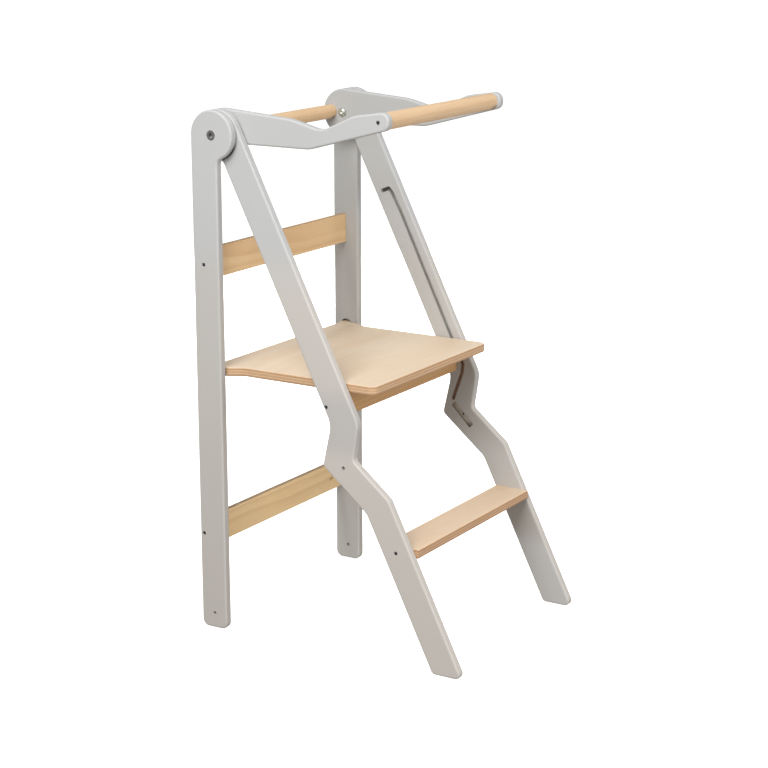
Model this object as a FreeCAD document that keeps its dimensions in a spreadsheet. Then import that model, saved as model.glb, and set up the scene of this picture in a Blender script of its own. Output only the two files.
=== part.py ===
import FreeCAD, Part
import Sketcher
import math
import os

# Folding helper stool for a toddler.
# X is the width, the steps face -Y, +Z is up, the floor is z = 0.  Millimetres,
# real size.  Outlines are drawn from the line of the fold pivots (y = 0 there),
# and every piece is then set forward or back by originShift, so that the origin
# lies on the floor under the middle of the open stool.

V = FreeCAD.Vector
doc = FreeCAD.newDocument("kitchen_helper_stool")

# ------------------------------------------------------------------ dimensions
DIM = [
    ("ply", 15.0, "thickness of the painted plywood side pieces"),
    ("layerGap", 1.0, "gap between two neighbouring side pieces"),
    ("halfWidth", 221.0, "centre plane to the outer face of a rear leg"),
    ("pivotZ", 855.0, "height of the fold pivots"),
    ("headR", 41.4, "radius of the round heads at the pivots"),
    ("neckR", 12.0, "hollow radius between a head and its leg"),
    ("edgeR", 3.5, "rounding of the painted edges"),
    ("rearLegFront", -10.2, "front edge of a rear leg, y"),
    ("legLean", 26.4, "lean of the front legs from the vertical, degrees"),
    ("frontLegWide", 51.2, "width of the upper part of a front leg"),
    ("pinBoreR", 5.08, "bore radius on the pivot barrel, moving pieces"),
    ("barrelR", 5.0, "pivot barrel radius"),
    ("barrelBoreR", 3.05, "bore inside the pivot barrel"),
    ("boltR", 3.0, "pivot bolt shank radius"),
    ("capR", 8.0, "radius of the barrel head and the bolt head"),
    ("capDeep", 2.6, "thickness of the barrel head"),
    ("slatThick", 10.0, "thickness of the rear slats"),
    ("slatTall", 52.8, "height of the rear slats"),
    ("socketDeep", 5.0, "depth of the slat sockets"),
    ("upperSlatY", 15.4, "front face of the upper slat"),
    ("upperSlatZ", 613.0, "lower edge of the upper slat"),
    ("lowerSlatY", 28.0, "front face of the lower slat"),
    ("lowerSlatZ", 142.9, "lower edge of the lower slat"),
    ("grooveWide", 7.0, "width of the guide groove"),
    ("grooveDeep", 8.0, "depth of the guide groove"),
    ("platformZ", 448.7, "underside of the platform"),
    ("platformThick", 15.0, "thickness of the platform"),
    ("platformHalf", 188.5, "half width of the platform between the front legs"),
    ("platformRearHalf", 203.3, "half width of the platform at the rear"),
    ("platformRearY", 22.8, "rear edge of the platform"),
    ("platformFrontY", -292.5, "front edge of the platform"),
    ("platformEdgeR", 2.5, "rounding of the platform edges"),
    ("earR", 12.3, "radius of the rear ears of the platform"),
    ("earHoleR", 12.5, "radius of the ear holes in the rear legs"),
    ("earHoleDeep", 9.0, "depth of the ear holes"),
    ("earY", 16.0, "ear axis, y"),
    ("earShoulder", 0.4, "step from the board's faces down to the ear's flats"),
    ("earReach", 213.5, "centre plane to the end of an ear"),
    ("guideY", -223.5, "guide pin axis, y"),
    ("guideR", 3.3, "guide pin radius"),
    ("guideEnd", 189.3, "centre plane to the end of a guide pin"),
    ("guideRoot", 160.0, "centre plane to the inner end of a guide pin"),
    ("stepZ", 188.0, "underside of the step"),
    ("stepRearY", -312.2, "rear edge of the step"),
    ("stepDepth", 65.5, "depth of the step, front to rear"),
    ("stepThick", 15.0, "thickness of the step"),
    ("railRearY", -204.0, "rear face of the platform rail"),
    ("railDepth", 25.5, "depth of the platform rail"),
    ("railZ", 403.6, "underside of the platform rail"),
    ("railTall", 44.7, "height of the platform rail"),
    ("railScrewY", -209.6, "screws of the platform rail, y"),
    ("railScrewZ", 423.3, "screws of the platform rail, z"),
    ("gripR", 13.8, "radius of the front grip rail"),
    ("gripY", -300.5, "front grip rail axis, y"),
    ("gripZ", 890.6, "front grip rail axis, z"),
    ("topRailR", 12.5, "radius of the rear top rail"),
    ("topRailY", 25.0, "rear top rail axis, y"),
    ("topRailZ", 855.0, "rear top rail axis, z"),
    ("washerR", 13.0, "radius of the pivot washers"),
    ("washerThick", 0.9, "thickness of the pivot washers"),
    ("screwHeadR", 3.1, "screw head radius"),
    ("screwHeadLong", 5.0, "screw head length"),
    ("screwShankR", 2.0, "screw shank radius"),
    ("screwLong", 46.0, "screw length"),
    ("screwSunk", 1.0, "depth of a screw head below the face"),
    ("screwPortR", 3.3, "radius of the counterbore over a screw head"),
    ("screwPortDeep", 6.1, "depth of that counterbore"),
    ("screwBoreR", 2.1, "radius of the screw bores"),
    ("footHoleR", 3.0, "radius of the hole near each rear foot"),
    ("footHoleY", 14.5, "that hole, y"),
    ("footHoleZ", 27.0, "that hole, z"),
    ("originShift", 210.75, "fold pivots, y, from the middle of the open stool"),
]
sheet = doc.addObject("Spreadsheet::Sheet", "Dims")
D = {}
for row, (alias, value, note) in enumerate(DIM, start=1):
    sheet.set("A%d" % row, str(value))
    sheet.setAlias("A%d" % row, alias)
    sheet.set("B%d" % row, note)
    D[alias] = value
doc.recompute()

PLY = D["ply"]
BACK_OUT = D["halfWidth"]
BACK_IN = BACK_OUT - PLY
FRONT_OUT = BACK_IN - D["layerGap"]
FRONT_IN = FRONT_OUT - PLY
ARM_OUT = FRONT_IN - D["layerGap"]
ARM_IN = ARM_OUT - PLY
PIV = (0.0, D["pivotZ"])
SIDES = (("left", -1), ("right", 1))


# ------------------------------------------------------------------ outlines
def unit(a, b):
    dx, dy = b[0] - a[0], b[1] - a[1]
    n = math.hypot(dx, dy)
    return dx / n, dy / n


def rounded_chain(points, closed):
    """Lines and tangent arcs through corners given as (a, b, radius)."""
    n = len(points)
    ins, outs, arcs = [], [], []
    for i, p in enumerate(points):
        r = p[2]
        end = (not closed) and i in (0, n - 1)
        if r <= 0 or end:
            ins.append((p[0], p[1]))
            outs.append((p[0], p[1]))
            arcs.append(None)
            continue
        u = unit(points[i - 1], p)
        v = unit(p, points[(i + 1) % n])
        cross = u[0] * v[1] - u[1] * v[0]
        turn = math.atan2(cross, u[0] * v[0] + u[1] * v[1])
        back = r * math.tan(abs(turn) / 2)
        a = (p[0] - u[0] * back, p[1] - u[1] * back)
        b = (p[0] + v[0] * back, p[1] + v[1] * back)
        s = 1 if turn > 0 else -1
        c = (a[0] - s * u[1] * r, a[1] + s * u[0] * r)
        ins.append(a)
        outs.append(b)
        arcs.append((c, r, s))
    out = []
    last = n if closed else n - 1
    for i in range(n):
        if arcs[i]:
            c, r, s = arcs[i]
            out.append(("arc", c, r, ins[i], outs[i], s))
        if i < last:
            j = (i + 1) % n
            if math.hypot(outs[i][0] - ins[j][0], outs[i][1] - ins[j][1]) > 1e-6:
                out.append(("line", outs[i], ins[j]))
    return out


def add_outline(sk, items):
    for it in items:
        if it[0] == "line":
            sk.addGeometry(Part.LineSegment(V(it[1][0], it[1][1], 0), V(it[2][0], it[2][1], 0)), False)
        else:
            _, c, r, a, b, s = it
            a0 = math.atan2(a[1] - c[1], a[0] - c[0])
            a1 = math.atan2(b[1] - c[1], b[0] - c[0])
            if s < 0:
                a0, a1 = a1, a0
            while a1 <= a0:
                a1 += 2 * math.pi
            circ = Part.Circle(V(c[0], c[1], 0), V(0, 0, 1), r)
            sk.addGeometry(Part.ArcOfCircle(circ, a0, a1), False)
    # join neighbouring ends
    n = len(items)
    con = []
    for i in range(n):
        j = (i + 1) % n
        ei = 2 if (items[i][0] == "line" or items[i][5] > 0) else 1
        sj = 1 if (items[j][0] == "line" or items[j][5] > 0) else 2
        con.append(Sketcher.Constraint("Coincident", i, ei, j, sj))
    sk.addConstraint(con)


def head_arc(radius, items):
    return [i for i, it in enumerate(items) if it[0] == "arc" and abs(it[2] - radius) < 1e-9 and abs(it[1][0] - PIV[0]) < 1e-9]


# ------------------------------------------------------------------ body helpers
def plane(body, role):
    for f in body.Origin.OriginFeatures:
        if f.Role == role:
            return f
    raise ValueError(role)


def new_body(label):
    body = doc.addObject("PartDesign::Body", "Body_" + label)
    body.Label = label
    return body


def sketch_on(body, name, role, offset=0.0, offset_expr=None):
    sk = body.newObject("Sketcher::SketchObject", name)
    sk.AttachmentSupport = [(plane(body, role), "")]
    sk.MapMode = "FlatFace"
    sk.AttachmentOffset = FreeCAD.Placement(V(0, 0, offset), FreeCAD.Rotation())
    if offset_expr:
        sk.setExpression("AttachmentOffset.Base.z", offset_expr)
    return sk


def pad(body, sk, name, expr):
    p = body.newObject("PartDesign::Pad", name)
    p.Profile = sk
    p.Type = 0
    p.setExpression("Length", expr)
    sk.Visibility = False
    doc.recompute()
    return p


def round_faces(body, feature, axis, low, high, name, expr, keep=None):
    """Round every edge that lies in the plane low or high across one axis."""
    names = []
    for i, e in enumerate(feature.Shape.Edges, start=1):
        bb = e.BoundBox
        lo = (bb.XMin, bb.YMin, bb.ZMin)[axis]
        hi = (bb.XMax, bb.YMax, bb.ZMax)[axis]
        if hi - lo < 1e-4 and (abs(lo - low) < 1e-3 or abs(lo - high) < 1e-3):
            if keep is None or keep(e):
                names.append("Edge%d" % i)
    f = body.newObject("PartDesign::Fillet", name)
    f.Base = (feature, names)
    f.Radius = 1.0
    f.setExpression("Radius", expr)
    doc.recompute()
    return f


def circle_sketch(body, name, role, centres, radius_expr, offset=0.0, offset_expr=None):
    sk = sketch_on(body, name, role, offset, offset_expr)
    doc.recompute()
    for k, (cy, cz, ey, ez) in enumerate(centres):
        g = sk.addGeometry(Part.Circle(V(cy, cz, 0), V(0, 0, 1), 1.0 + 0.1 * k), False)
        r = sk.addConstraint(Sketcher.Constraint("Radius", g, 3.0))
        a = sk.addConstraint(Sketcher.Constraint("DistanceX", -1, 1, g, 3, cy if abs(cy) > 1e-9 else 1.0))
        b = sk.addConstraint(Sketcher.Constraint("DistanceY", -1, 1, g, 3, cz if abs(cz) > 1e-9 else 1.0))
        sk.setExpression("Constraints[%d]" % r, radius_expr)
        sk.setExpression("Constraints[%d]" % a, ey if ey else "%.4f" % cy)
        sk.setExpression("Constraints[%d]" % b, ez if ez else "%.4f" % cz)
    return sk


def pocket(body, sk, name, expr, reverse):
    """Cut from the sketch plane; the volume shows that it cut something."""
    before = body.Tip.Shape.Volume
    p = body.newObject("PartDesign::Pocket", name)
    p.Profile = sk
    p.Type = 0
    p.Reversed = reverse
    p.setExpression("Length", expr)
    sk.Visibility = False
    doc.recompute()
    if p.Shape.Volume > before - 0.5:
        raise ValueError("pocket %s in %s cut nothing" % (name, body.Label))
    return p


def from_face(body, side, which):
    """Offset, its formula and the cutting direction for one face of a side piece."""
    at_far = (side < 0 and which == "inner") or (side > 0 and which == "outer")
    if at_far:
        return PLY, "Dims.ply", False
    return 0.0, None, True


def stadium(a, b, r):
    u = unit(a, b)
    n = (-u[1], u[0])
    p1 = (a[0] - n[0] * r, a[1] - n[1] * r)
    p2 = (b[0] - n[0] * r, b[1] - n[1] * r)
    p3 = (b[0] + n[0] * r, b[1] + n[1] * r)
    p4 = (a[0] + n[0] * r, a[1] + n[1] * r)
    return [("line", p1, p2), ("arc", b, r, p2, p3, 1), ("line", p3, p4), ("arc", a, r, p4, p1, 1)]


def tilted_box(c, along, across, angle):
    """Corners of a box outline: long side turned by angle from +Z towards -Y."""
    t = math.radians(angle)
    d = (-math.sin(t), -math.cos(t))
    n = (-d[1], d[0])
    h, w = along / 2, across / 2
    pts = []
    for sx, sy in ((-1, -1), (1, -1), (1, 1), (-1, 1)):
        pts.append((c[0] + d[0] * h * sx + n[0] * w * sy, c[1] + d[1] * h * sx + n[1] * w * sy, 1.6))
    return rounded_chain(pts, True)


def place_x(body, side, outer_expr, inner_expr):
    body.setExpression("Placement.Base.x", ("-(%s)" % outer_expr) if side < 0 else inner_expr)


NODES = []


# ------------------------------------------------------------------ rear legs
R = D["headR"]
NR = D["neckR"]
FY = D["rearLegFront"]


def rear_leg_outline():
    dz = math.sqrt((R + NR) ** 2 - (-FY + NR) ** 2)
    neck = (FY - NR, PIV[1] - dz)
    on_line = (FY, neck[1])
    k = R / (R + NR)
    on_head = (PIV[0] + (neck[0] - PIV[0]) * k, PIV[1] + (neck[1] - PIV[1]) * k)
    chain = rounded_chain([(on_line[0], on_line[1], 0), (FY, 0.0, 12.0), (R, 0.0, 12.0), (R, PIV[1], 0)], False)
    chain.append(("arc", PIV, R, (R, PIV[1]), on_head, 1))
    chain.append(("arc", neck, NR, on_head, on_line, -1))
    return chain


for tag, side in SIDES:
    b = new_body("back_leg_" + tag)
    sk = sketch_on(b, "outline_" + b.Label, "YZ_Plane")
    items = rear_leg_outline()
    add_outline(sk, items)
    g = head_arc(R, items)[0]
    c = sk.addConstraint(Sketcher.Constraint("Radius", g, R))
    sk.setExpression("Constraints[%d]" % c, "Dims.headR")
    p = pad(b, sk, "board_" + b.Label, "Dims.ply")
    f = round_faces(b, p, 0, 0.0, PLY, "rounding_" + b.Label, "Dims.edgeR")
    # pivot bore and the seat of the barrel head
    o, oe, rev = from_face(b, side, "outer")
    s1 = circle_sketch(b, "bore_" + b.Label, "YZ_Plane", [(0, PIV[1], "0", "Dims.pivotZ")], "Dims.barrelR + 0.05", o, oe)
    pocket(b, s1, "pivotbore_" + b.Label, "Dims.ply + 1", rev)
    s2 = circle_sketch(b, "seat_" + b.Label, "YZ_Plane", [(0, PIV[1], "0", "Dims.pivotZ")], "Dims.capR + 0.3", o, oe)
    pocket(b, s2, "capseat_" + b.Label, "Dims.capDeep + 0.4", rev)
    # screw bores of the two slats, and the hole near the foot
    uy, uz = D["upperSlatY"] + D["slatThick"] / 2, D["upperSlatZ"] + D["slatTall"] / 2
    ly, lz = D["lowerSlatY"] + D["slatThick"] / 2, D["lowerSlatZ"] + D["slatTall"] / 2
    spots = [
        (uy, uz, "Dims.upperSlatY + Dims.slatThick / 2", "Dims.upperSlatZ + Dims.slatTall / 2"),
        (ly, lz, "Dims.lowerSlatY + Dims.slatThick / 2", "Dims.lowerSlatZ + Dims.slatTall / 2"),
    ]
    s3 = circle_sketch(b, "ports_" + b.Label, "YZ_Plane", spots, "Dims.screwPortR", o, oe)
    pocket(b, s3, "screwports_" + b.Label, "Dims.screwPortDeep", rev)
    s4 = circle_sketch(b, "screwbores_" + b.Label, "YZ_Plane", spots, "Dims.screwBoreR", o, oe)
    pocket(b, s4, "screwholes_" + b.Label, "Dims.ply + 1", rev)
    s5 = circle_sketch(b, "foothole_" + b.Label, "YZ_Plane", [(D["footHoleY"], D["footHoleZ"], "Dims.footHoleY", "Dims.footHoleZ")], "Dims.footHoleR", o, oe)
    pocket(b, s5, "footbore_" + b.Label, "Dims.ply + 1", rev)
    # sockets of the two slats and the round hole of the platform ear, inner face
    o, oe, rev = from_face(b, side, "inner")
    for nm, yy, zz in (("upper", "upperSlatY", "upperSlatZ"), ("lower", "lowerSlatY", "lowerSlatZ")):
        s6 = sketch_on(b, "%s_socket_%s" % (nm, b.Label), "YZ_Plane", o, oe)
        c0 = (D[yy] + D["slatThick"] / 2, D[zz] + D["slatTall"] / 2)
        add_outline(s6, tilted_box(c0, D["slatTall"] + 0.2, D["slatThick"] + 0.2, 0.0))
        pocket(b, s6, "%s_mortise_%s" % (nm, b.Label), "Dims.socketDeep", rev)
    s7 = circle_sketch(b, "earhole_" + b.Label, "YZ_Plane",
                       [(D["earY"], D["platformZ"] + D["platformThick"] / 2, "Dims.earY", "Dims.platformZ + Dims.platformThick / 2")],
                       "Dims.earHoleR", o, oe)
    pocket(b, s7, "earbore_" + b.Label, "Dims.earHoleDeep", rev)
    place_x(b, side, "Dims.halfWidth", "Dims.halfWidth - Dims.ply")
    NODES.append(b)

# ------------------------------------------------------------------ front legs
AL = math.radians(D["legLean"])
TAN = math.tan(AL)
DOWN = (-math.sin(AL), -math.cos(AL))
FWD = (-math.cos(AL), math.sin(AL))


def leg_point(along, forward):
    return (PIV[0] + DOWN[0] * along + FWD[0] * forward, PIV[1] + DOWN[1] * along + FWD[1] * forward)


def front_leg_outline():
    rear = R - D["frontLegWide"]           # rear edge, measured forward of the pivot
    tangent = leg_point(0.0, R)            # where the front edge leaves the head
    run = math.sqrt((R + NR) ** 2 - (-rear + NR) ** 2)
    neck = leg_point(run, rear - NR)
    on_line = leg_point(run, rear)
    k = R / (R + NR)
    on_head = (PIV[0] + (neck[0] - PIV[0]) * k, PIV[1] + (neck[1] - PIV[1]) * k)

    def front_upper(z):
        return tangent[0] + (z - tangent[1]) * TAN

    def rear_upper(z):
        return on_line[0] + (z - on_line[1]) * TAN

    pts = [(tangent[0], tangent[1], 0)]
    pts.append((front_upper(402.3), 402.3, 34.0))      # front of the knee
    pts.append((-260.8, 338.8, 12.0))                  # hollow below it
    pts.append((-328.8, 282.5, 14.0))                  # shoulder of the lower leg
    pts.append((-468.4, 0.0, 9.0))                     # toe
    pts.append((-411.5, 0.0, 9.0))                     # heel
    pts.append((-286.4, 252.3, 26.0))                  # hollow behind the lower leg
    pts.append((-201.4, 322.8, 9.0))                   # back of the knee
    pts.append((rear_upper(394.6), 394.6, 42.0))       # hollow above it
    pts.append((on_line[0], on_line[1], 0))
    chain = rounded_chain(pts, False)
    chain.append(("arc", neck, NR, on_line, on_head, -1))
    chain.append(("arc", PIV, R, on_head, tangent, 1))
    return chain


GROOVE = [(-74.0, 717.2), (-87.0, 722.2), (-94.6, 714.2), (-111.0, 686.0), (-242.4, 417.6), (-240.8, 401.6), (-223.4, 352.4)]
RAIL_C = (D["railScrewY"], D["railScrewZ"])
STEP_C = (D["stepRearY"] - D["stepDepth"] / 2 + 2.0, D["stepZ"] + D["stepThick"] / 2)
SPARE = (-242.4, 324.2)

for tag, side in SIDES:
    b = new_body("front_leg_" + tag)
    sk = sketch_on(b, "outline_" + b.Label, "YZ_Plane")
    items = front_leg_outline()
    add_outline(sk, items)
    g = head_arc(R, items)[0]
    c = sk.addConstraint(Sketcher.Constraint("Radius", g, R))
    sk.setExpression("Constraints[%d]" % c, "Dims.headR")
    p = pad(b, sk, "board_" + b.Label, "Dims.ply")
    f = round_faces(b, p, 0, 0.0, PLY, "rounding_" + b.Label, "Dims.edgeR")
    o, oe, rev = from_face(b, side, "outer")
    s1 = circle_sketch(b, "bore_" + b.Label, "YZ_Plane", [(0, PIV[1], "0", "Dims.pivotZ")], "Dims.pinBoreR", o, oe)
    pocket(b, s1, "pivotbore_" + b.Label, "Dims.ply + 1", rev)
    spots = [
        (RAIL_C[0], RAIL_C[1], "Dims.railScrewY", "Dims.railScrewZ"),
        (STEP_C[0], STEP_C[1], "Dims.stepRearY - Dims.stepDepth / 2 + 2", "Dims.stepZ + Dims.stepThick / 2"),
        (SPARE[0], SPARE[1], None, None),
    ]
    s3 = circle_sketch(b, "ports_" + b.Label, "YZ_Plane", spots, "Dims.screwPortR", o, oe)
    pocket(b, s3, "screwports_" + b.Label, "Dims.screwPortDeep", rev)
    s4 = circle_sketch(b, "screwbores_" + b.Label, "YZ_Plane", spots, "Dims.screwBoreR", o, oe)
    pocket(b, s4, "screwholes_" + b.Label, "Dims.ply + 1", rev)
    # guide groove: hook, long run and the bend behind the knee
    o, oe, rev = from_face(b, side, "inner")
    for i in range(len(GROOVE) - 1):
        s5 = sketch_on(b, "groove%d_%s" % (i + 1, b.Label), "YZ_Plane", o, oe)
        add_outline(s5, stadium(GROOVE[i], GROOVE[i + 1], D["grooveWide"] / 2))
        pocket(b, s5, "guide%d_%s" % (i + 1, b.Label), "Dims.grooveDeep", rev)
    # spare slat socket in the knee
    s6 = sketch_on(b, "spare_" + b.Label, "YZ_Plane", o, oe)
    add_outline(s6, tilted_box(SPARE, D["slatTall"] + 0.4, D["slatThick"] + 0.6, 45.2))
    pocket(b, s6, "sparesocket_" + b.Label, "Dims.socketDeep", rev)
    place_x(b, side, "Dims.halfWidth - Dims.ply - Dims.layerGap", "Dims.halfWidth - 2 * Dims.ply - Dims.layerGap")
    NODES.append(b)


# ------------------------------------------------------------------ guard arms
def arm_outline():
    low = 839.4
    # top edge: tangent from the head to the dip, then up to the grip end
    bx, bz = -136.6, 886.0
    dist = math.hypot(bx - PIV[0], bz - PIV[1])
    base = math.atan2(bz - PIV[1], bx - PIV[0])
    ang = base - math.acos(R / dist)
    top = (PIV[0] + R * math.cos(ang), PIV[1] + R * math.sin(ang))
    drop = PIV[1] - (low - NR)
    run = math.sqrt((R + NR) ** 2 - drop ** 2)
    neck = (PIV[0] - run, low - NR)
    on_line = (neck[0], low)
    k = R / (R + NR)
    on_head = (PIV[0] + (neck[0] - PIV[0]) * k, PIV[1] + (neck[1] - PIV[1]) * k)
    pts = [
        (top[0], top[1], 0),
        (bx, bz, 150.0),
        (-193.3, 871.2, 42.0),
        (-254.9, 898.7, 55.0),
        (-319.4, 908.2, 13.5),
        (-319.4, 879.6, 13.5),
        (-169.4, low, 60.0),
        (on_line[0], on_line[1], 0),
    ]
    chain = rounded_chain(pts, False)
    chain.append(("arc", neck, NR, on_line, on_head, -1))
    chain.append(("arc", PIV, R, on_head, (top[0], top[1]), 1))
    return chain


for tag, side in SIDES:
    b = new_body("guard_arm_" + tag)
    sk = sketch_on(b, "outline_" + b.Label, "YZ_Plane")
    items = arm_outline()
    add_outline(sk, items)
    g = head_arc(R, items)[0]
    c = sk.addConstraint(Sketcher.Constraint("Radius", g, R))
    sk.setExpression("Constraints[%d]" % c, "Dims.headR")
    p = pad(b, sk, "board_" + b.Label, "Dims.ply")
    f = round_faces(b, p, 0, 0.0, PLY, "rounding_" + b.Label, "Dims.edgeR")
    o, oe, rev = from_face(b, side, "outer")
    s1 = circle_sketch(b, "bore_" + b.Label, "YZ_Plane", [(0, PIV[1], "0", "Dims.pivotZ")], "Dims.pinBoreR", o, oe)
    pocket(b, s1, "pivotbore_" + b.Label, "Dims.ply + 1", rev)
    spots = [(D["gripY"], D["gripZ"], "Dims.gripY", "Dims.gripZ"), (D["topRailY"], D["topRailZ"], "Dims.topRailY", "Dims.topRailZ")]
    s3 = circle_sketch(b, "ports_" + b.Label, "YZ_Plane", spots, "Dims.screwPortR", o, oe)
    pocket(b, s3, "screwports_" + b.Label, "Dims.screwPortDeep", rev)
    s4 = circle_sketch(b, "screwbores_" + b.Label, "YZ_Plane", spots, "Dims.screwBoreR", o, oe)
    pocket(b, s4, "screwholes_" + b.Label, "Dims.ply + 1", rev)
    place_x(b, side, "Dims.halfWidth - 2 * Dims.ply - 2 * Dims.layerGap", "Dims.halfWidth - 3 * Dims.ply - 2 * Dims.layerGap")
    NODES.append(b)

# ------------------------------------------------------------------ platform
b = new_body("platform_board")
HW, RW = D["platformHalf"], D["platformRearHalf"]
RY, PY = D["platformRearY"], D["platformFrontY"]
sk = sketch_on(b, "outline_platform", "XY_Plane")
half = [(RW, RY, 3.0), (RW, -9.0, 20.0), (HW, -34.0, 26.0), (HW, PY, 14.0)]
pts = [(-x, y, r) for x, y, r in half] + [(x, y, r) for x, y, r in reversed(half)]
items = rounded_chain(pts, True)
add_outline(sk, items)
p = pad(b, sk, "board_platform", "Dims.platformThick")
f = round_faces(b, p, 2, 0.0, D["platformThick"], "rounding_platform", "Dims.platformEdgeR")
# rear ears: a flat tenon, a little thinner than the board, whose two short sides
# are round about the ear axis
ER, T2 = D["earR"], D["platformThick"] / 2
ET = T2 - D["earShoulder"]
half_chord = math.sqrt(ER ** 2 - ET ** 2)
ey, ez = D["earY"], T2
for nm, x0, sgn in (("left", -1, -1), ("right", 1, 1)):
    s = sketch_on(b, "ear_" + nm, "YZ_Plane", sgn * (D["platformRearHalf"] - 6.0),
                  ("-(Dims.platformRearHalf - 6)" if sgn < 0 else "Dims.platformRearHalf - 6"))
    top_l, top_r = (ey - half_chord, ez + ET), (ey + half_chord, ez + ET)
    bot_l, bot_r = (ey - half_chord, ez - ET), (ey + half_chord, ez - ET)
    add_outline(s, [("line", bot_l, bot_r), ("arc", (ey, ez), ER, bot_r, top_r, 1), ("line", top_r, top_l), ("arc", (ey, ez), ER, top_l, bot_l, 1)])
    e = b.newObject("PartDesign::Pad", "tenon_" + nm)
    e.Profile = s
    e.Type = 0
    e.Reversed = sgn < 0
    e.setExpression("Length", "Dims.earReach - Dims.platformRearHalf + 6")
    s.Visibility = False
    doc.recompute()
# blind bores for the guide pins
for nm, sgn in (("left", -1), ("right", 1)):
    s = circle_sketch(b, "pinbore_" + nm, "YZ_Plane", [(D["guideY"], T2, "Dims.guideY", "Dims.platformThick / 2")], "Dims.guideR + 0.02",
                      sgn * (HW + 1), ("-(Dims.platformHalf + 1)" if sgn < 0 else "Dims.platformHalf + 1"))
    pocket(b, s, "pinhole_" + nm, "Dims.platformHalf + 1.05 - Dims.guideRoot", sgn < 0)
b.setExpression("Placement.Base.z", "Dims.platformZ")
NODES.append(b)

# ------------------------------------------------------------------ step
b = new_body("step_board")
sk = sketch_on(b, "outline_step", "YZ_Plane", -FRONT_IN, "-(Dims.halfWidth - 2 * Dims.ply - Dims.layerGap)")
y0, y1 = D["stepRearY"], D["stepRearY"] - D["stepDepth"]
z0, z1 = D["stepZ"], D["stepZ"] + D["stepThick"]
add_outline(sk, rounded_chain([(y1, z0, 2.5), (y0, z0, 2.5), (y0, z1, 2.5), (y1, z1, 2.5)], True))
pad(b, sk, "board_step", "2 * (Dims.halfWidth - 2 * Dims.ply - Dims.layerGap)")
for nm, sgn in (("left", -1), ("right", 1)):
    s = circle_sketch(b, "stepbore_" + nm, "YZ_Plane", [(STEP_C[0], STEP_C[1], "Dims.stepRearY - Dims.stepDepth / 2 + 2", "Dims.stepZ + Dims.stepThick / 2")],
                      "Dims.screwBoreR", sgn * FRONT_IN,
                      ("-(Dims.halfWidth - 2 * Dims.ply - Dims.layerGap)" if sgn < 0 else "Dims.halfWidth - 2 * Dims.ply - Dims.layerGap"))
    pocket(b, s, "stephole_" + nm, "Dims.screwLong - Dims.ply + 3", sgn < 0)
NODES.append(b)

# ------------------------------------------------------------------ rail under the platform
b = new_body("platform_rail")
sk = sketch_on(b, "outline_rail", "YZ_Plane", -FRONT_IN, "-(Dims.halfWidth - 2 * Dims.ply - Dims.layerGap)")
y0, y1 = D["railRearY"], D["railRearY"] - D["railDepth"]
z0, z1 = D["railZ"], D["railZ"] + D["railTall"]
add_outline(sk, rounded_chain([(y1, z0, 3.0), (y0, z0, 3.0), (y0, z1, 3.0), (y1, z1, 3.0)], True))
pad(b, sk, "bar_rail", "2 * (Dims.halfWidth - 2 * Dims.ply - Dims.layerGap)")
for nm, sgn in (("left", -1), ("right", 1)):
    s = circle_sketch(b, "railbore_" + nm, "YZ_Plane", [(RAIL_C[0], RAIL_C[1], "Dims.railScrewY", "Dims.railScrewZ")],
                      "Dims.screwBoreR", sgn * FRONT_IN,
                      ("-(Dims.halfWidth - 2 * Dims.ply - Dims.layerGap)" if sgn < 0 else "Dims.halfWidth - 2 * Dims.ply - Dims.layerGap"))
    pocket(b, s, "railhole_" + nm, "Dims.screwLong - Dims.ply + 3", sgn < 0)
NODES.append(b)

# ------------------------------------------------------------------ rear slats
SLAT_END = BACK_IN + D["socketDeep"] - 0.1
for label, yy, zz in (("upper_back_slat", "upperSlatY", "upperSlatZ"), ("lower_back_slat", "lowerSlatY", "lowerSlatZ")):
    b = new_body(label)
    sk = sketch_on(b, "outline_" + label, "YZ_Plane", -SLAT_END, "-(Dims.halfWidth - Dims.ply + Dims.socketDeep - 0.1)")
    y0, z0 = D[yy], D[zz]
    y1, z1 = y0 + D["slatThick"], z0 + D["slatTall"]
    add_outline(sk, rounded_chain([(y0, z0, 1.8), (y1, z0, 1.8), (y1, z1, 1.8), (y0, z1, 1.8)], True))
    pad(b, sk, "board_" + label, "2 * (Dims.halfWidth - Dims.ply + Dims.socketDeep - 0.1)")
    for nm, sgn in (("left", -1), ("right", 1)):
        s = circle_sketch(b, "slatbore_%s_%s" % (label, nm), "YZ_Plane",
                          [(y0 + D["slatThick"] / 2, z0 + D["slatTall"] / 2, "Dims.%s + Dims.slatThick / 2" % yy, "Dims.%s + Dims.slatTall / 2" % zz)],
                          "Dims.screwBoreR", sgn * SLAT_END,
                          ("-(Dims.halfWidth - Dims.ply + Dims.socketDeep - 0.1)" if sgn < 0 else "Dims.halfWidth - Dims.ply + Dims.socketDeep - 0.1"))
        pocket(b, s, "slathole_%s_%s" % (label, nm), "Dims.screwLong - Dims.ply + Dims.socketDeep + 3", sgn < 0)
    NODES.append(b)

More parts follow.
